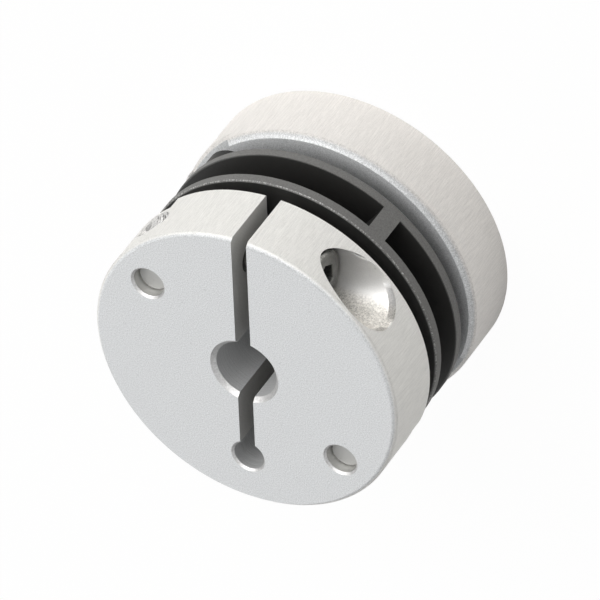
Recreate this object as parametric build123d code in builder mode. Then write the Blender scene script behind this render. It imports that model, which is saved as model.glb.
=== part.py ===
from build123d import *
import os

os.makedirs("parts", exist_ok=True)

# Spring-disc clamp coupling for two 6 mm shafts, in millimetres.
# Z is the coupling's axis. The rear hub's end face lies on z = 0 and the front hub's on top.
# The front hub's slit runs along +Y and its clamp screw goes in from +X.

# Overall size
outer_diameter = 30.0
overall_length = 22.0

# Clamp hubs. The rim's edges are broken by a different amount at each of the four faces.
hub_thickness = 6.7
front_end_chamfer = 0.4
front_inner_chamfer = 0.1
rear_inner_chamfer = 0.55
rear_end_chamfer = 0.1
bore_diameter = 6.0
bore_chamfer = 0.4
slit_width = 1.5
relief_diameter = 3.0
relief_offset = 9.95
small_hole_chamfer = 0.2

# Pockets in each hub's inner face, open at the rim, which the spring element's bosses stand in
pocket_width = 7.2
pocket_depth = 1.2
pocket_mouth_chamfer = 0.3

# Drive pins, two in each hub on one diameter
pin_diameter = 3.0
pin_offset = 11.55
pin_angle = 144.0
pin_recess = 1.1
pin_end_chamfer = 0.15

# Clamp screws, M3 socket head, lying across the slit
screw_offset = 10.55
screw_depth = 3.38
screw_diameter = 3.0
screw_length = 10.0
screw_tip_chamfer = 0.4
screw_clearance_diameter = 3.4
head_diameter = 5.5
head_height = 3.0
head_edge_chamfer = 0.25
hex_across_flats = 2.5
hex_depth = 1.5
hex_cone_depth = 0.5
counterbore_diameter = 6.0
counterbore_floor = 3.7

# Spring element: two discs joined by two posts, with bosses that carry the pins
disc_diameter = 29.3
disc_opening = 13.0
disc_thickness = 1.0
disc_gap = 3.0
disc_edge_chamfer = 0.15
boss_diameter = 5.6
post_width = 1.9
post_length = 5.0

# Sizes that follow from the ones above
outer_radius = outer_diameter / 2
disc_radius = disc_diameter / 2
hub_face = overall_length - hub_thickness
middle = overall_length / 2
front_disc_inner = middle + disc_gap / 2
front_disc_outer = front_disc_inner + disc_thickness
pocket_floor = hub_face + pocket_depth
boss_height = pocket_floor - front_disc_outer
screw_height = overall_length - screw_depth
post_angle = pin_angle - 90
past_rim = outer_radius + 1

pin_places = PolarLocations(pin_offset, 2, start_angle=pin_angle)
screw_plane = Plane.YZ
turn_axis = Axis((0, 0, middle), Vector(1, 0, 0).rotate(Axis.Z, pin_angle))


def clamp_hub(end_chamfer, inner_chamfer):
    """A thick disc, split from its rim through the bore to a relief hole, as the front hub lies."""
    with BuildPart() as hub:
        with BuildSketch(Plane.XY.offset(hub_face)):
            Circle(outer_radius)
        extrude(amount=hub_thickness)
        inner_edge, end_edge = hub.edges().filter_by(GeomType.CIRCLE).sort_by(Axis.Z)
        chamfer(end_edge, length=end_chamfer)
        chamfer(inner_edge, length=inner_chamfer)

        # Boss pockets: round about each pin's hole and straight from there out through the rim
        with BuildSketch(Plane.XY.offset(hub_face)):
            with pin_places:
                Circle(pocket_width / 2)
            with PolarLocations((pin_offset + past_rim) / 2, 2, start_angle=pin_angle):
                Rectangle(past_rim - pin_offset, pocket_width)
        extrude(amount=pocket_depth, mode=Mode.SUBTRACT)
        pocket_edges = hub.faces().filter_by(Axis.Z).sort_by(Axis.Z)[1:3].edges()
        mouths = pocket_edges.filter_by(GeomType.CIRCLE).sort_by(SortBy.RADIUS)[-2:]
        chamfer(mouths, length=pocket_mouth_chamfer)

        # Shaft bore, relief hole and the two pin holes, all right through
        with BuildSketch(Plane.XY.offset(overall_length)):
            Circle(bore_diameter / 2)
            with Locations((0, -relief_offset)):
                Circle(relief_diameter / 2)
            with pin_places:
                Circle(pin_diameter / 2)
        extrude(amount=-hub_thickness, mode=Mode.SUBTRACT)
        holes = hub.faces().sort_by(Axis.Z)[-1].inner_wires().edges().sort_by(SortBy.RADIUS)
        chamfer(holes[-1], length=bore_chamfer)
        chamfer(holes[:-1], length=small_hole_chamfer)

        # Sawn slit that lets the screw draw the bore tight on the shaft
        with BuildSketch(Plane.XY.offset(overall_length)):
            with Locations((0, (past_rim - relief_offset) / 2)):
                Rectangle(slit_width, past_rim + relief_offset)
        extrude(amount=-hub_thickness, mode=Mode.SUBTRACT)

        # Counterbore for the screw's head, with the clearance hole behind it
        with BuildSketch(screw_plane.offset(counterbore_floor)):
            with Locations((screw_offset, screw_height)):
                Circle(counterbore_diameter / 2)
        extrude(amount=past_rim, mode=Mode.SUBTRACT)
        with BuildSketch(screw_plane):
            with Locations((screw_offset, screw_height)):
                Circle(screw_clearance_diameter / 2)
        extrude(amount=counterbore_floor, mode=Mode.SUBTRACT)

        # Screw hole in the other jaw, open at the rim
        with BuildSketch(screw_plane):
            with Locations((screw_offset, screw_height)):
                Circle(screw_diameter / 2)
        extrude(amount=-past_rim, mode=Mode.SUBTRACT)
    return hub


front_hub = clamp_hub(front_end_chamfer, front_inner_chamfer)

# Rear hub: the same hub turned end for end about the pins' diameter
rear_hub_as_front = clamp_hub(rear_end_chamfer, rear_inner_chamfer)
with BuildPart() as rear_hub:
    add(rear_hub_as_front.part.rotate(turn_axis, 180))

# Spring element: one moulding
with BuildPart() as spring_element:
    # Front disc
    with BuildSketch(Plane.XY.offset(front_disc_inner)):
        Circle(disc_radius)
        Circle(disc_opening / 2, mode=Mode.SUBTRACT)
    extrude(amount=disc_thickness)
    rim_edge = spring_element.faces().sort_by(Axis.Z)[-1].outer_wire().edges()
    chamfer(rim_edge, length=disc_edge_chamfer)

    # Round pin bosses that reach the floors of the front hub's pockets
    with BuildSketch(Plane.XY.offset(front_disc_inner)):
        with pin_places:
            Circle(boss_diameter / 2)
    extrude(amount=disc_thickness + boss_height)

    # Posts on the other diameter, flush with the rim, as far as the middle
    with BuildSketch(Plane.XY.offset(middle)):
        with PolarLocations(disc_radius - post_length / 2, 2, start_angle=post_angle):
            Rectangle(post_length + disc_gap, post_width)
        Circle(disc_radius, mode=Mode.INTERSECT)
        Circle(disc_radius - post_length, mode=Mode.SUBTRACT)
    extrude(amount=disc_gap / 2)

    # Holes that hold the pins
    with BuildSketch(Plane.XY.offset(pocket_floor)):
        with pin_places:
            Circle(pin_diameter / 2)
    extrude(amount=-(boss_height + disc_thickness), mode=Mode.SUBTRACT)

    # The other half is its mirror image
    mirror(about=Plane.XY.offset(middle))

# Clamp screw of the front hub: plain shank at thread size, round head, hexagon socket
with BuildPart() as front_screw:
    with BuildSketch(screw_plane.offset(counterbore_floor)):
        with Locations((screw_offset, screw_height)):
            Circle(head_diameter / 2)
    extrude(amount=head_height)
    head_rim = front_screw.edges().filter_by(GeomType.CIRCLE).sort_by(Axis.X)[-1]
    chamfer(head_rim, length=head_edge_chamfer)

    with BuildSketch(screw_plane.offset(counterbore_floor)):
        with Locations((screw_offset, screw_height)):
            Circle(screw_diameter / 2)
    extrude(amount=-screw_length)
    tip = front_screw.edges().filter_by(GeomType.CIRCLE).sort_by(Axis.X)[0]
    chamfer(tip, length=screw_tip_chamfer)

    with BuildSketch(screw_plane.offset(counterbore_floor + head_height)):
        with Locations((screw_offset, screw_height)):
            RegularPolygon(hex_across_flats / 2, 6, major_radius=False)
    extrude(amount=-hex_depth, mode=Mode.SUBTRACT)

    # Drill point at the bottom of the socket
    socket_floor = screw_plane.offset(counterbore_floor + head_height - hex_depth)
    with BuildSketch(socket_floor):
        with Locations((screw_offset, screw_height)):
            Circle(hex_across_flats / 2)
    extrude(amount=-hex_cone_depth, taper=60, mode=Mode.SUBTRACT)

with BuildPart() as rear_screw:
    add(front_screw.part.rotate(turn_axis, 180))

# Drive pins: from the disc's inner face to just below the hub's end face
for letter, place in zip("ab", pin_places):
    with BuildPart() as front_pin:
        with BuildSketch(Plane.XY.offset(front_disc_inner)):
            with Locations(place.position):
                Circle(pin_diameter / 2)
        extrude(amount=overall_length - pin_recess - front_disc_inner)
        chamfer(front_pin.edges().filter_by(GeomType.CIRCLE), length=pin_end_chamfer)
    with BuildPart() as rear_pin:
        add(front_pin.part.rotate(turn_axis, 180))

    front_pin.part.label = "front_pin_" + letter
    rear_pin.part.label = "rear_pin_" + letter
    export_step(front_pin.part, f"parts/{front_pin.part.label}.step")
    export_step(rear_pin.part, f"parts/{rear_pin.part.label}.step")

front_hub.part.label = "front_hub"
rear_hub.part.label = "rear_hub"
spring_element.part.label = "spring_element"
front_screw.part.label = "front_screw"
rear_screw.part.label = "rear_screw"

export_step(front_hub.part, "parts/front_hub.step")
export_step(rear_hub.part, "parts/rear_hub.step")
export_step(spring_element.part, "parts/spring_element.step")
export_step(front_screw.part, "parts/front_screw.step")
export_step(rear_screw.part, "parts/rear_screw.step")
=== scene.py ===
"""Spring-disc clamp coupling in its finishes: two turned aluminium clamp hubs, a moulded
glass-fibre spring element, ground drive pins and blackened M3 clamp screws.

Lengths are in millimetres here and become metres where a mesh is made. The coupling's axis
is Z, the front hub's slit runs along +Y, and the rear pieces are the front ones turned end
for end about the drive pins' diameter.
"""

import math
import bpy
import numpy as np
from mathutils import Matrix


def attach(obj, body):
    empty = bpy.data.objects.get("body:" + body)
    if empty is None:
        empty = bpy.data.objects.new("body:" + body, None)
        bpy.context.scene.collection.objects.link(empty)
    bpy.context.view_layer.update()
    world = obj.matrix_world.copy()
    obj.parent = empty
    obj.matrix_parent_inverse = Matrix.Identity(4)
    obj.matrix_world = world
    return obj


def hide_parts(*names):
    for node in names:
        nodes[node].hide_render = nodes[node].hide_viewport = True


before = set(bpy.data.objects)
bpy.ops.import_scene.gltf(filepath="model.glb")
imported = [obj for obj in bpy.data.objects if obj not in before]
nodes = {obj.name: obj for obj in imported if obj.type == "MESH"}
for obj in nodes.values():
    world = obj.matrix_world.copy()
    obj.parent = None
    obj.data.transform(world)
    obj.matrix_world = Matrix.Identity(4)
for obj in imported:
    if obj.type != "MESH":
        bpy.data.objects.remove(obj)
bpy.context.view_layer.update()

METRES = 0.001

# Coupling
COUPLING_LENGTH = 22.0
COUPLING_RADIUS = 15.0
HUB_THICKNESS = 6.7
HUB_INNER_FACE = COUPLING_LENGTH - HUB_THICKNESS
WIDEST_RIM_EDGE = 0.55

# Drive pins, on the diameter that the rear pieces are turned about
PIN_ANGLE = math.radians(144)
PIN_OFFSET = 11.55
PIN_RADIUS = 1.5

# Bore, slit and relief hole of the front hub
BORE_RADIUS = 3.0
SLIT_HALF_WIDTH = 0.75
RELIEF_RADIUS = 1.5
RELIEF_Y = -9.95

# Front clamp screw: its axis runs along X at this Y and Z
SCREW_Y = 10.55
SCREW_DEPTH = 3.38
SCREW_Z = COUPLING_LENGTH - SCREW_DEPTH
SEAT_X = 3.7
SCREW_LENGTH = 10.0
THREAD_RADIUS = 1.5
THREAD_PITCH = 0.5
THREAD_DEPTH = 0.3
TIP_RADIUS = 1.12
HEAD_RADIUS = 2.75
HEAD_HEIGHT = 3.0
FLUTES = 42
FLUTE_DEPTH = 0.07
SOCKET_DEPTH = 1.5
SOCKET_HALF_WIDTH = 1.25
COUNTERBORE_RADIUS = 3.0

# Spring element
DISC_RADIUS = 14.65

# Angles in degrees past which a mesh's edge stays sharp
SCREW_SHARP_ANGLE = 32
THREAD_SHARP_ANGLE = 40

# Colours of the finishes
BLASTED_FACE = (0.607, 0.618, 0.627, 1)
FRONT_DRAWN_RIM = (0.772, 0.769, 0.751, 1)
REAR_DRAWN_RIM = (0.782, 0.764, 0.745, 1)
BROKEN_HOLE_EDGE = (0.58, 0.578, 0.575, 1)
DRILLED_HOLE = (0.72, 0.715, 0.70, 1)
SAWN_SLIT = (0.66, 0.658, 0.645, 1)
BORED_HOLE = (0.53, 0.535, 0.54, 1)
MILLED_COUNTERBORE = (0.84, 0.835, 0.825, 1)
COUNTERBORE_CUT_SIDE = (0.80, 0.777, 0.735, 1)
TAPPED_THREAD = (0.82, 0.815, 0.805, 1)
BLACK_PLASTIC = (0.0135, 0.013, 0.012, 1)
# Painted light: about ten times lighter than BLACK_PLASTIC, so the rims look lit and the faces
# between the discs look shaded
PAINTED_LIGHT_DISC_RIM = (0.130, 0.130, 0.127, 1)
GROUND_STEEL = (0.40, 0.40, 0.39)
BLACKENED_STEEL = (0.21, 0.21, 0.20)

# Floor and room
FLOOR_HALF_WIDTH = 1.2
FLOOR_HEIGHT = -2e-5
FLOOR_PAINT = (0.81, 0.803, 0.79, 1)
FLOOR_PLAIN_WHITE = 0.965
ROOM_COLOUR = (0.985, 0.99, 1.0, 1)
ROOM_LIGHT = 0.05
ROOM_SEEN_IN_METAL = 0.36
WHITE = (1, 1, 1, 1)

# Lamps: direction round the coupling from +X and height above the floor in degrees, distance
# and width in metres, power and colour
LAMPS = [
    ("window", 120, 27, 0.8, 0.9, 4.25, (1.0, 0.99, 0.97)),
    ("softbox", 108, 60, 0.8, 0.9, 5.8, (1.0, 0.995, 0.985)),
    ("far_wall", 230, 27, 0.8, 0.9, 2.8, (1.0, 1.0, 1.0)),
    ("side_wall", 345, 35, 0.8, 0.9, 1.2, (1.0, 1.0, 1.0)),
]

# Camera: a long lens, well above the front hub's face. The rows turn its directions into the
# coupling's.
CAMERA_AT = (0.2619371, 0.4569686, 0.4810832)
CAMERA_AXES = (
    (0.8854296, -0.2796616, 0.3712193),
    (-0.0308816, 0.7615450, 0.6473758),
    (-0.4637464, -0.5846696, 0.6656581),
)
CAMERA_LENS = 475.578
CAMERA_SENSOR = 36.0
CAMERA_NEAR_AND_FAR = (0.05, 10.0)


# ---------------------------------------------------------------------------------------
# Surfaces
# ---------------------------------------------------------------------------------------


def turned_end_for_end(points):
    """Turns points half round about the pins' diameter at mid length: twice the part along
    that diameter, less the point itself, with height measured from mid length."""
    along = np.array([math.cos(PIN_ANGLE), math.sin(PIN_ANGLE), 0.0])
    middle = np.array([0.0, 0.0, COUPLING_LENGTH / 2])
    offset = points - middle
    return 2 * (offset @ along)[..., None] * along - offset + middle


def new_piece(name, points, faces, sharp_angle, material):
    """Makes a smooth piece that rides on the coupling's one body from points in millimetres."""
    mesh = bpy.data.meshes.new(name)
    mesh.from_pydata((points * METRES).tolist(), [], faces)
    mesh.shade_smooth()
    mesh.set_sharp_from_angle(angle=math.radians(sharp_angle))
    mesh.materials.append(material)
    piece = bpy.data.objects.new(name, mesh)
    bpy.context.scene.collection.objects.link(piece)
    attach(piece, "root")
    return piece


def clamp_screw(name, rings, ends, material):
    """A closed screw from rings of points, shaped (rings, points round, 3) and listed so that
    going round and then along turns outwards. Each end closes on one middle point."""
    count, around, _ = rings.shape
    points = np.concatenate([rings.reshape(-1, 3), ends])
    here = np.arange(count * around).reshape(count, around)
    beside = np.roll(here, -1, axis=1)
    quads = np.stack([here[:-1], beside[:-1], beside[1:], here[1:]], axis=-1).reshape(-1, 4)
    first = np.full(around, count * around)
    last = first + 1
    caps = np.concatenate(
        [
            np.stack([beside[0], here[0], first], axis=-1),
            np.stack([here[-1], beside[-1], last], axis=-1),
        ]
    )
    faces = quads.tolist() + caps.tolist()
    return new_piece(name, points, faces, SCREW_SHARP_ANGLE, material)


def round_the_screw(along, radius, angle):
    """Places points about the front screw's axis: along it from the seat under its head, and
    out from it by radius at angle, which starts at +Y and turns towards +Z."""
    x, y, z = np.broadcast_arrays(
        SEAT_X + along, SCREW_Y + radius * np.cos(angle), SCREW_Z + radius * np.sin(angle)
    )
    return np.stack([x, y, z], axis=-1)


def thread_ridge(along, angle):
    """Height of a right-hand thread from 0 at its root to 1 at its crest: a triangle wave of
    the distance along the axis less a pitch for each turn, with its tips cut flat."""
    root_flat, flank = 0.12, 0.72
    turns = (along / THREAD_PITCH - angle / (2 * math.pi)) % 1.0
    wave = 1 - np.abs(2 * turns - 1)
    return np.clip((wave - root_flat) / flank, 0, 1)


def clamp_screw_rings():
    """Rings of an M3 socket-head screw, from its tip to the bottom of its socket, and the
    points that close them.

    Shank: the root radius plus the thread's depth times its ridge, never more than a
    45-degree chamfer allows at the tip. Head: a circle less small straight flutes that fade
    out at both edges. Socket: the radius of a hexagon, half its width over the cosine of the
    angle from the nearest flat's middle.
    """
    around = 4 * FLUTES
    angle = np.linspace(0, 2 * math.pi, around, endpoint=False)
    flat_angle = (angle % (math.pi / 3)) - math.pi / 6
    hexagon = SOCKET_HALF_WIDTH / np.cos(flat_angle)
    flutes = 0.5 - 0.5 * np.cos(FLUTES * angle)

    shank_steps = 230
    plain_under_head = 0.12
    shank_x = np.linspace(-SCREW_LENGTH, -plain_under_head, shank_steps)[:, None]
    root = THREAD_RADIUS - THREAD_DEPTH
    shank_r = root + THREAD_DEPTH * thread_ridge(shank_x, angle[None, :])
    shank_r = np.minimum(shank_r, TIP_RADIUS + (shank_x + SCREW_LENGTH))
    rings = [round_the_screw(shank_x, shank_r, angle[None, :])]

    # Distance along from the seat, and radius there
    plain = np.ones(around)
    fluted = HEAD_RADIUS - FLUTE_DEPTH * flutes
    profile = [
        (-0.02, THREAD_RADIUS * plain),
        (0.0, 1.62 * plain),
        (0.0, 2.58 * plain),
        (0.07, 2.68 * plain),
        (0.16, HEAD_RADIUS - 0.02 - 0.01 * flutes),
        (0.30, fluted),
        (1.2, fluted),
        (2.45, fluted),
        (2.62, HEAD_RADIUS - 0.02 - 0.02 * flutes),
        (2.74, 2.71 * plain),
        (2.86, 2.64 * plain),
        (2.95, 2.54 * plain),
        (HEAD_HEIGHT, 2.40 * plain),
        (HEAD_HEIGHT, 2.0 * plain),
        (HEAD_HEIGHT, hexagon + 0.07),
        (HEAD_HEIGHT - 0.03, hexagon + 0.03),
        (HEAD_HEIGHT - 0.10, hexagon),
        (HEAD_HEIGHT - 0.8, hexagon),
        (HEAD_HEIGHT - SOCKET_DEPTH, hexagon),
        (HEAD_HEIGHT - SOCKET_DEPTH, 1.2 * plain),
        (HEAD_HEIGHT - SOCKET_DEPTH - 0.35, 0.35 * plain),
    ]
    for along, radius in profile:
        rings.append(round_the_screw(along, radius, angle)[None])
    socket_point = HEAD_HEIGHT - SOCKET_DEPTH - 0.47
    ends = round_the_screw(np.array([-SCREW_LENGTH, socket_point]), 0.0, np.zeros(2))
    return np.concatenate(rings), ends


def tapped_thread_rings():
    """Rings of the hub's own thread from the screw's tip to the rim, a sleeve whose outside
    lies in the hub's wall and whose inside is the thread.

    Inside: the thread's outer radius less its depth times a ridge half a pitch out of step
    with the screw's, fading out at the mouth. At the rim each point ends where the rim's
    circle is: X is minus the root of the rim's radius squared less Y squared.
    """
    around, steps = 96, 150
    off_the_tip, off_the_wall, off_the_rim = 0.02, 0.012, 0.015
    fading_length, wall_depth, set_back = 0.22, 0.12, 0.3
    cut_depth = THREAD_DEPTH - 0.03
    angle = np.linspace(0, 2 * math.pi, around, endpoint=False)
    start = SEAT_X - SCREW_LENGTH + off_the_tip
    inside = THREAD_RADIUS - off_the_wall
    y_at_rim = SCREW_Y + inside * np.cos(angle)
    x_at_rim = -np.sqrt((COUPLING_RADIUS - off_the_rim) ** 2 - y_at_rim**2)
    share = np.linspace(0, 1, steps)[:, None]
    x = start + share * (x_at_rim[None, :] - start)
    ridge = thread_ridge(x - SEAT_X + THREAD_PITCH / 2, angle[None, :])
    mouth = np.clip((x - x_at_rim[None, :]) / fading_length, 0.0, 1.0)
    radius = inside - cut_depth * ridge * mouth
    bore = round_the_screw(x - SEAT_X, radius, angle[None, :])
    both_ends = np.stack([x[0], x_at_rim + set_back])
    outside = round_the_screw(both_ends - SEAT_X, THREAD_RADIUS + wall_depth, angle[None, :])
    return bore, outside


def tapped_thread(name, material, turned):
    """The sleeve as one closed ring-shaped piece: round the bore's rings and back along the
    outside, so the grid closes both ways."""
    bore, outside = tapped_thread_rings()
    rings = np.concatenate([bore, outside[::-1]])
    if turned:
        rings = turned_end_for_end(rings)
    count, around, _ = rings.shape
    here = np.arange(count * around).reshape(count, around)
    beside = np.roll(here, -1, axis=1)
    onward = np.roll(here, -1, axis=0)
    across = np.roll(beside, -1, axis=0)
    quads = np.stack([here, beside, across, onward], axis=-1).reshape(-1, 4)
    points = rings.reshape(-1, 3)
    return new_piece(
        name, points, quads.tolist(), THREAD_SHARP_ANGLE, material
    )


# ---------------------------------------------------------------------------------------
# Materials
# ---------------------------------------------------------------------------------------


class Term:
    """One socket of a material. Arithmetic on it adds Math nodes, so a pattern is a formula."""

    def __init__(self, finish, socket):
        self.finish = finish
        self.socket = socket

    def math(self, operation, *values):
        return self.finish.node("ShaderNodeMath", {"operation": operation}, values)

    def __add__(self, other):
        return self.math("ADD", self, other)

    __radd__ = __add__

    def __sub__(self, other):
        return self.math("SUBTRACT", self, other)

    def __rsub__(self, other):
        return self.math("SUBTRACT", other, self)

    def __mul__(self, other):
        return self.math("MULTIPLY", self, other)

    __rmul__ = __mul__

    def __truediv__(self, other):
        return self.math("DIVIDE", self, other)

    def __pow__(self, other):
        return self.math("POWER", self, other)

    def size(self):
        return self.math("ABSOLUTE", self)

    def root(self):
        return self.math("SQRT", self)

    def most(self, other):
        return self.math("MAXIMUM", self, other)

    def least(self, other):
        return self.math("MINIMUM", self, other)

    def rise(self, low, high):
        """0 below low, 1 above high, and a smooth step between them."""
        return self.finish.node(
            "ShaderNodeMapRange",
            {"interpolation_type": "SMOOTHSTEP"},
            {"Value": self, "From Min": low, "From Max": high},
        )

    def fall(self, low, high):
        """1 below low, 0 above high."""
        return 1 - self.rise(low, high)


def distance(across, up):
    """How far from a line, by the two numbers square to it."""
    return (across * across + up * up).root()


class Finish:
    """The node tree of a material or of the room, and the patterns that several finishes
    share."""

    def __init__(self, owner):
        owner.use_nodes = True
        self.owner = owner
        self.tree = owner.node_tree
        self.tree.nodes.clear()

    def node(self, kind, settings=None, inputs=(), output=0):
        """Adds a node of any kind, its settings first and then its sockets' values or links,
        and gives one of its outputs."""
        made = self.tree.nodes.new(kind)
        for key, value in (settings or {}).items():
            setattr(made, key, value)
        pairs = inputs.items() if isinstance(inputs, dict) else enumerate(inputs)
        for key, value in pairs:
            if isinstance(value, Term):
                self.tree.links.new(value.socket, made.inputs[key])
            else:
                made.inputs[key].default_value = value
        return Term(self, made.outputs[output]) if len(made.outputs) else None

    def place(self):
        """X, Y and Z on the piece, in millimetres."""
        point = self.node("ShaderNodeTexCoord", output="Object")
        return [
            self.node("ShaderNodeSeparateXYZ", {}, [point], axis) / METRES for axis in range(3)
        ]

    def facing(self):
        """The surface's own direction."""
        normal = self.node("ShaderNodeNewGeometry", output="True Normal")
        return [self.node("ShaderNodeSeparateXYZ", {}, [normal], axis) for axis in range(3)]

    def as_front(self, turned):
        """Place and direction as the front hub has them, whichever hub the piece belongs to."""
        x, y, z = self.place()
        nx, ny, nz = self.facing()
        if not turned:
            return x, y, z, nx, ny, nz
        c, s = math.cos(2 * PIN_ANGLE), math.sin(2 * PIN_ANGLE)
        return (
            c * x + s * y,
            s * x - c * y,
            COUPLING_LENGTH - z,
            c * nx + s * ny,
            s * nx - c * ny,
            nz * -1,
        )

    def at(self, x, y, z):
        """A point or direction from its three numbers."""
        return self.node("ShaderNodeCombineXYZ", {}, [x, y, z])

    def grain(self, x, y, z, detail=3.0, roughness=0.55):
        """Soft noise about 0, from -1 to 1, with one lump for each unit of x, y and z."""
        noise = self.node(
            "ShaderNodeTexNoise",
            {"noise_dimensions": "3D"},
            {
                "Vector": self.at(x, y, z),
                "Scale": 1.0,
                "Detail": detail,
                "Roughness": roughness,
            },
        )
        return (noise - 0.5) * 2

    def specks(self, x, y, z, low, high):
        """Small round spots, one at most in each cell: 1 inside low, 0 outside high."""
        cell = self.node(
            "ShaderNodeTexVoronoi",
            {"feature": "F1"},
            {"Vector": self.at(x, y, z), "Scale": 1.0},
        )
        return cell.fall(low, high)

    def blend(self, share, first, second):
        """A colour between two: first where share is 0, second where it is 1."""
        return self.node(
            "ShaderNodeMix", {"data_type": "RGBA"}, {0: share, 6: first, 7: second}, 2
        )

    def shade(self, colour, level):
        """A colour made lighter or darker all through by level."""
        return self.node(
            "ShaderNodeVectorMath", {"operation": "SCALE"}, {"Vector": colour, "Scale": level}
        )

    def relief(self, height, **direction):
        """A normal from a height in millimetres, over the surface's own direction or another."""
        return self.node(
            "ShaderNodeBump",
            {},
            {"Strength": 1.0, "Distance": METRES, "Height": height, **direction},
        )

    def turned_to(self, share, direction):
        """The surface's own direction, or another one as far as share is 1."""
        own = self.node("ShaderNodeNewGeometry", output="Normal")
        mixed = self.node(
            "ShaderNodeMix", {"data_type": "VECTOR"}, {0: share, 4: own, 5: direction}, 1
        )
        return self.node("ShaderNodeVectorMath", {"operation": "NORMALIZE"}, [mixed])

    def surface(self, inputs):
        """Finishes the material with the shader that everything leads to."""
        shader = self.node("ShaderNodeBsdfPrincipled", {}, inputs)
        self.node("ShaderNodeOutputMaterial", {}, [shader])
        return self.owner


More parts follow.
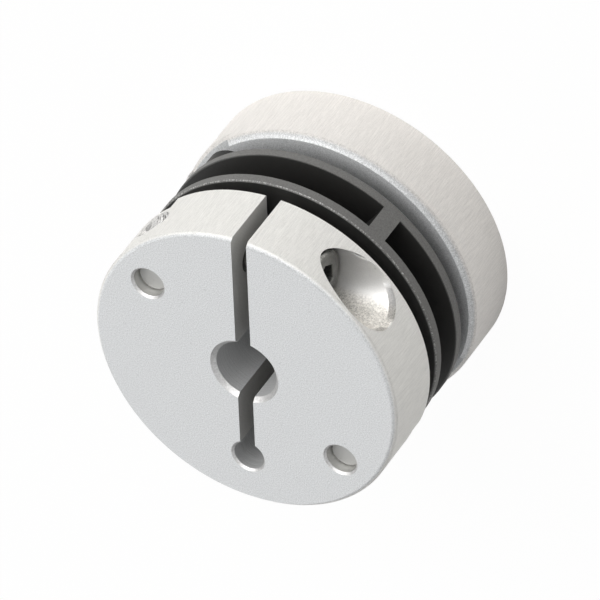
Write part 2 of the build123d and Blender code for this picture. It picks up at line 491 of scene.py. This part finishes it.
def turned_aluminium(name, turned):
    """Uncoated aluminium hub, in the front hub's own coordinates: drawn-bar streaks along its
    rim, fine turning on its faces, saw lines in its slit and cutter rings in its holes."""
    finish = Finish(bpy.data.materials.new(name))
    x, y, z, nx, _, nz = finish.as_front(turned)

    # Where each way of working shows: 1 there, 0 elsewhere
    out = distance(x, y)
    flat = nz.size().rise(0.9, 0.97)
    upright = nz.size().fall(0.1, 0.25)
    rim = out.rise(COUPLING_RADIUS - 0.1, COUPLING_RADIUS - 0.04) * upright
    sawn = (
        x.size().fall(SLIT_HALF_WIDTH + 0.01, SLIT_HALF_WIDTH + 0.05)
        * nx.size().rise(0.95, 0.98)
        * out.rise(BORE_RADIUS, BORE_RADIUS + 0.05)
    )
    from_screw = distance(y - SCREW_Y, z - SCREW_Z)
    pocket = (
        from_screw.fall(COUNTERBORE_RADIUS + 0.02, COUNTERBORE_RADIUS + 0.08)
        * x.rise(SEAT_X - 0.2, SEAT_X - 0.1)
        * (1 - rim)
    )
    from_relief = distance(x, y - RELIEF_Y)
    bored = upright * out.fall(BORE_RADIUS + 0.02, BORE_RADIUS + 0.1).most(
        from_relief.fall(RELIEF_RADIUS + 0.02, RELIEF_RADIUS + 0.1)
    )
    sloped = (1 - flat) * (1 - upright)
    rim_edge = sloped * out.rise(
        COUPLING_RADIUS - WIDEST_RIM_EDGE - 0.07, COUPLING_RADIUS - WIDEST_RIM_EDGE - 0.02
    )
    in_holes = pocket.most(from_screw.fall(THREAD_RADIUS + 0.05, THREAD_RADIUS + 0.14) * (1 - rim))
    # Across a rim edge: 0 at the face, 1 at the rim. Its direction turns as a rounded edge's,
    # and on the rear hub, whose edge is broken wider, it starts half turned.
    from_face = (COUPLING_LENGTH - z).least(z - HUB_INNER_FACE).most(0.0)
    round_edge = from_face / (from_face + (COUPLING_RADIUS - out).size() + 0.001)
    turn = round_edge * 0.38 + 0.52 if turned else round_edge**0.75 * 0.87
    drawn_from, drawn_to = (0.5, 0.9) if turned else (0.3, 0.7)
    edge_flecks = 0.42 if turned else 0.22
    own_x, own_y, _ = finish.place()
    upward = finish.facing()[2].rise(-0.01, 0.01) * 2 - 1
    rounded = finish.turned_to(
        rim_edge,
        finish.at(own_x / out * turn, own_y / out * turn, upward * (1 - turn)),
    )
    drawn = rim.most(rim_edge * round_edge.rise(drawn_from, drawn_to))
    blasted = flat.most(rim_edge) * (1 - in_holes) * (1 - drawn)
    along_pins = x * math.cos(PIN_ANGLE) + y * math.sin(PIN_ANGLE)
    across_pins = y * math.cos(PIN_ANGLE) - x * math.sin(PIN_ANGLE)
    from_pin = distance(along_pins.size() - PIN_OFFSET, across_pins)
    drilled = upright * from_pin.fall(PIN_RADIUS + 0.05, PIN_RADIUS + 0.15)
    hole_edge = (sloped - rim_edge) * z.rise(COUPLING_LENGTH - 0.6, COUPLING_LENGTH - 0.5)
    tapped = (
        from_screw.fall(THREAD_RADIUS + 0.05, THREAD_RADIUS + 0.14)
        * x.fall(-SLIT_HALF_WIDTH - 0.1, -SLIT_HALF_WIDTH)
    )

    # The marks that they leave
    grain = finish.grain(x * 9, y * 9, z * 9, detail=3, roughness=0.7)
    cloud = finish.grain(x * 0.35, y * 0.35, z * 0.35, detail=2)
    rings = finish.grain(out * 16, 0.0, 3.0, detail=2)
    streaks = finish.grain(x * 11, y * 11, z * 0.7, detail=3, roughness=0.7)
    scores = finish.grain(x * 2.4, y * 2.4, z * 0.12, detail=2)
    saw = finish.grain(y * 1.2 + z * 0.9, z * 9 - y * 6.5, 5.0, detail=3)
    cutter = finish.grain(x * 14, from_screw, 7.0, detail=2)
    boring = finish.grain(z * 8, out, 9.0, detail=3, roughness=0.7)
    dark_specks = finish.specks(x * 0.62, y * 0.62, z * 0.62, 0.055, 0.09)
    cut_side = y.fall(SCREW_Y - 2.8, SCREW_Y - 2.0)
    chatter = finish.grain(x * 6, y * 6, z * 6, detail=2, roughness=0.8) * cut_side
    flecks = finish.grain(x * 4.5, y * 4.5, z * 4.5, detail=3, roughness=0.8)
    burr = out.fall(COUPLING_RADIUS - 0.37, COUPLING_RADIUS - 0.27)

    # How they lighten, colour, roughen and raise the metal
    level = (
        1.0
        + blasted * (grain * 0.62 + rings * 0.012 + cloud * 0.012)
        + drawn * (streaks * 0.24 + grain * 0.14 + scores * 0.03)
        # In the slit, painted light and shade: the wall is drawn lighter towards the rim and
        # darker towards the bore
        + sawn * (saw * 0.12 + y.rise(12.0, 15.5) * 0.2 - y.fall(4.5, 9.5) * 0.15)
        + pocket * (cutter * 0.05 + grain * 0.12 + chatter)
        + bored * (boring * 0.32 + grain * 0.22 - y.fall(-8.0, -6.0) * 0.12)
        + rim_edge * (flecks * edge_flecks + burr * 0.08)
        + hole_edge * flecks * 0.55
        - dark_specks * flat * 0.10
    )
    base = finish.blend(drawn, BLASTED_FACE, REAR_DRAWN_RIM if turned else FRONT_DRAWN_RIM)
    for share, colour in (
        (hole_edge, BROKEN_HOLE_EDGE),
        (drilled, DRILLED_HOLE),
        (sawn, SAWN_SLIT),
        (bored, BORED_HOLE),
        (pocket, MILLED_COUNTERBORE),
        (pocket * cut_side, COUNTERBORE_CUT_SIDE),
        (tapped, TAPPED_THREAD),
    ):
        base = finish.blend(share, base, colour)
    roughness = (
        0.50
        + blasted * 0.15
        + drawn * 0.08
        + hole_edge * 0.02
        - drilled * 0.12
        - tapped * 0.24
        + sawn * 0.12
        + bored * 0.30
        - pocket * 0.08
    )
    height = (
        blasted * (grain * 0.0016 + rings * 0.0006)
        + drawn * (streaks * 0.0022 + scores * 0.0012)
        + sawn * saw * 0.006
        + pocket * (cutter * 0.0018 + grain * 0.0016 + chatter * 0.010)
        + bored * boring * 0.002
        + hole_edge * flecks * 0.008
    )
    return finish.surface(
        {
            "Base Color": finish.shade(base, level),
            "Roughness": roughness,
            "Metallic": 1 - blasted * 0.6 - drawn * 0.5 - pocket * 0.35 - bored * 0.45,
            "Normal": finish.relief(height, Normal=rounded),
        }
    )


def moulded_plastic():
    """Black glass-fibre plastic with a fine matt grain. Its disc rim is drawn about ten times
    lighter than its near-black faces, painted light on the rim and painted shade between the
    discs, and along the rim's corners pale fibre ends carry painted glints."""
    finish = Finish(bpy.data.materials.new("moulded_glass_fibre_plastic"))
    x, y, z = finish.place()
    _, _, nz = finish.facing()
    out = distance(x, y)
    edge = out.rise(DISC_RADIUS - 0.2, DISC_RADIUS - 0.02)
    grain = finish.grain(x * 7, y * 7, z * 7, detail=3, roughness=0.8)
    flow = finish.grain(x * 0.5, y * 0.5, z * 1.2, detail=2)
    corner = edge * nz.size().rise(0.4, 0.6) * nz.size().fall(0.8, 0.9)
    sparkle = finish.grain(x * 5.5, y * 5.5, 2.0, detail=3, roughness=0.8).rise(-0.12, 0.40)
    # corner * sparkle: pale fibre ends with painted glints along the rim's corners
    level = 1.0 + grain * 0.80 + flow * 0.08 + corner * sparkle * 4.0
    # The rim takes the lighter colour: painted light on it, painted shade on the faces
    skin = finish.blend(edge, BLACK_PLASTIC, PAINTED_LIGHT_DISC_RIM)
    return finish.surface(
        {
            "Base Color": finish.shade(skin, level),
            "Roughness": 0.52 + grain * 0.08,
            "Normal": finish.relief(grain * 0.008),
        }
    )


def ground_steel():
    """Hardened pin steel, ground to a fine even grain with a few small pits."""
    finish = Finish(bpy.data.materials.new("ground_pin_steel"))
    x, y, z = finish.place()
    grain = finish.grain(x * 8, y * 8, z * 2, detail=4, roughness=0.65)
    cloud = finish.grain(x * 1.1, y * 1.1, z * 1.1, detail=2)
    pits = finish.specks(x * 1.7, y * 1.7, z * 1.7, 0.05, 0.1)
    level = 1.0 + grain * 0.05 + cloud * 0.04 - pits * 0.25
    return finish.surface(
        {
            "Base Color": finish.shade(GROUND_STEEL, level),
            "Roughness": 0.55 + grain * 0.06,
            "Metallic": 0.4,
            "Normal": finish.relief(grain * 0.0015),
        }
    )


def blackened_steel(name, turned):
    """Clamp screw in blackened steel: turning marks on its head and rubbed lighter along the
    head's edge, with painted shade darkening its socket and its shank."""
    finish = Finish(bpy.data.materials.new(name))
    x, y, z, *_ = finish.as_front(turned)
    from_screw = distance(y - SCREW_Y, z - SCREW_Z)
    head = x.rise(SEAT_X + 0.1, SEAT_X + 0.2)
    socket = head * from_screw.fall(SOCKET_HALF_WIDTH + 0.02, SOCKET_HALF_WIDTH + 0.3) * x.fall(
        SEAT_X + HEAD_HEIGHT - 0.12, SEAT_X + HEAD_HEIGHT - 0.04
    )
    edge = head * from_screw.rise(HEAD_RADIUS - 0.32, HEAD_RADIUS - 0.12)
    grain = finish.grain(x * 7, y * 7, z * 7, detail=4, roughness=0.7)
    cloud = finish.grain(x * 1.3, y * 1.3, z * 1.3, detail=3)
    turning = finish.grain(from_screw * 9, x * 2, 4.0, detail=3, roughness=0.7)
    rubbed = finish.grain(x * 3, y * 3, z * 3, detail=3, roughness=0.7).rise(-0.1, 0.35)
    level = (
        1.0
        + grain * 0.60
        + cloud * 0.30
        + head * turning * 0.30
        + edge * rubbed * 1.3
        # Painted shade: the socket and the shank are drawn darker than the head
        - socket * 0.55
        - (1 - head) * 0.45
    )
    return finish.surface(
        {
            "Base Color": finish.shade(BLACKENED_STEEL, level),
            "Roughness": 0.38 + grain * 0.10 + socket * 0.2,
            "Metallic": 0.9,
            "Normal": finish.relief(grain * 0.003 + head * turning * 0.003),
        }
    )


def dress(node, material):
    """Gives a CAD node its finish."""
    for place in nodes[node].material_slots:
        place.material = material


front_metal = turned_aluminium("turned_aluminium_front", False)
rear_metal = turned_aluminium("turned_aluminium_rear", True)
plastic = moulded_plastic()
pin_steel = ground_steel()
front_screw_steel = blackened_steel("blackened_steel_front", False)
rear_screw_steel = blackened_steel("blackened_steel_rear", True)

dress("front_hub", front_metal)
dress("rear_hub", rear_metal)
dress("spring_element", plastic)
for pin in ("front_pin_a", "front_pin_b", "rear_pin_a", "rear_pin_b"):
    dress(pin, pin_steel)

screw_rings, screw_ends = clamp_screw_rings()
front_screw = clamp_screw("front_clamp_screw", screw_rings, screw_ends, front_screw_steel)
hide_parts("front_screw")
rear_screw = clamp_screw(
    "rear_clamp_screw",
    turned_end_for_end(screw_rings),
    turned_end_for_end(screw_ends),
    rear_screw_steel,
)
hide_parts("rear_screw")
tapped_thread("front_tapped_thread", front_metal, False)
tapped_thread("rear_tapped_thread", rear_metal, True)


# ---------------------------------------------------------------------------------------
# Floor, light and camera
# ---------------------------------------------------------------------------------------


def pale_floor():
    """A wide white floor. What looks straight at it sees mostly plain white, with a little of
    its own shading left so that the coupling keeps its shadow."""
    mesh = bpy.data.meshes.new("floor")
    corners = [
        (x * FLOOR_HALF_WIDTH, y * FLOOR_HALF_WIDTH, FLOOR_HEIGHT)
        for x, y in ((-1, -1), (1, -1), (1, 1), (-1, 1))
    ]
    mesh.from_pydata(corners, [], [(0, 1, 2, 3)])
    finish = Finish(bpy.data.materials.new("white_floor"))
    seen = finish.node("ShaderNodeLightPath", output="Is Camera Ray") * FLOOR_PLAIN_WHITE
    paint = finish.node("ShaderNodeBsdfDiffuse", {}, {"Color": FLOOR_PAINT})
    white = finish.node("ShaderNodeEmission", {}, {"Color": WHITE, "Strength": 1.0})
    mixed = finish.node("ShaderNodeMixShader", {}, [seen, paint, white])
    finish.node("ShaderNodeOutputMaterial", {}, [mixed])
    mesh.materials.append(finish.owner)
    floor = bpy.data.objects.new("floor", mesh)
    bpy.context.scene.collection.objects.link(floor)


def studio_room():
    """The world round the coupling: white to the camera, and a soft even light."""
    finish = Finish(bpy.data.worlds.new("room"))
    bpy.context.scene.world = finish.owner
    camera_ray = finish.node("ShaderNodeLightPath", output="Is Camera Ray")
    glossy_ray = finish.node("ShaderNodeLightPath", output="Is Glossy Ray")
    through_ray = finish.node("ShaderNodeLightPath", output="Is Transmission Ray")
    even = finish.node("ShaderNodeBackground", {}, [ROOM_COLOUR, ROOM_LIGHT])
    in_metal = finish.node("ShaderNodeBackground", {}, [ROOM_COLOUR, ROOM_SEEN_IN_METAL])
    white = finish.node("ShaderNodeBackground", {}, [WHITE, 1.0])
    lit = finish.node("ShaderNodeMixShader", {}, [glossy_ray + through_ray, even, in_metal])
    seen = finish.node("ShaderNodeMixShader", {}, [camera_ray, lit, white])
    finish.node("ShaderNodeOutputWorld", {}, [seen])


def lamp(name, azimuth, height, distance, width, power, colour):
    """A square soft lamp that points at the coupling's middle."""
    data = bpy.data.lights.new(name, "AREA")
    data.shape = "SQUARE"
    data.size = width
    data.energy = power
    data.color = colour
    light = bpy.data.objects.new(name, data)
    level = math.radians(azimuth)
    up = math.radians(height)
    direction = np.array(
        [math.cos(up) * math.cos(level), math.cos(up) * math.sin(level), math.sin(up)]
    )
    middle = np.array([0, 0, COUPLING_LENGTH / 2 * METRES])
    aim = Matrix.Rotation(level + math.pi / 2, 4, "Z") @ Matrix.Rotation(
        math.pi / 2 - up, 4, "X"
    )
    light.matrix_world = Matrix.Translation(direction * distance + middle) @ aim
    bpy.context.scene.collection.objects.link(light)


pale_floor()
studio_room()
for row in LAMPS:
    lamp(*row)

lens = bpy.data.cameras.new("camera")
lens.lens = CAMERA_LENS
lens.sensor_width = CAMERA_SENSOR
lens.clip_start, lens.clip_end = CAMERA_NEAR_AND_FAR
camera = bpy.data.objects.new("camera", lens)
camera.matrix_world = Matrix.Translation(CAMERA_AT) @ Matrix(CAMERA_AXES).to_4x4()
bpy.context.scene.collection.objects.link(camera)
bpy.context.scene.camera = camera
bpy.context.scene.view_settings.view_transform = "Standard"
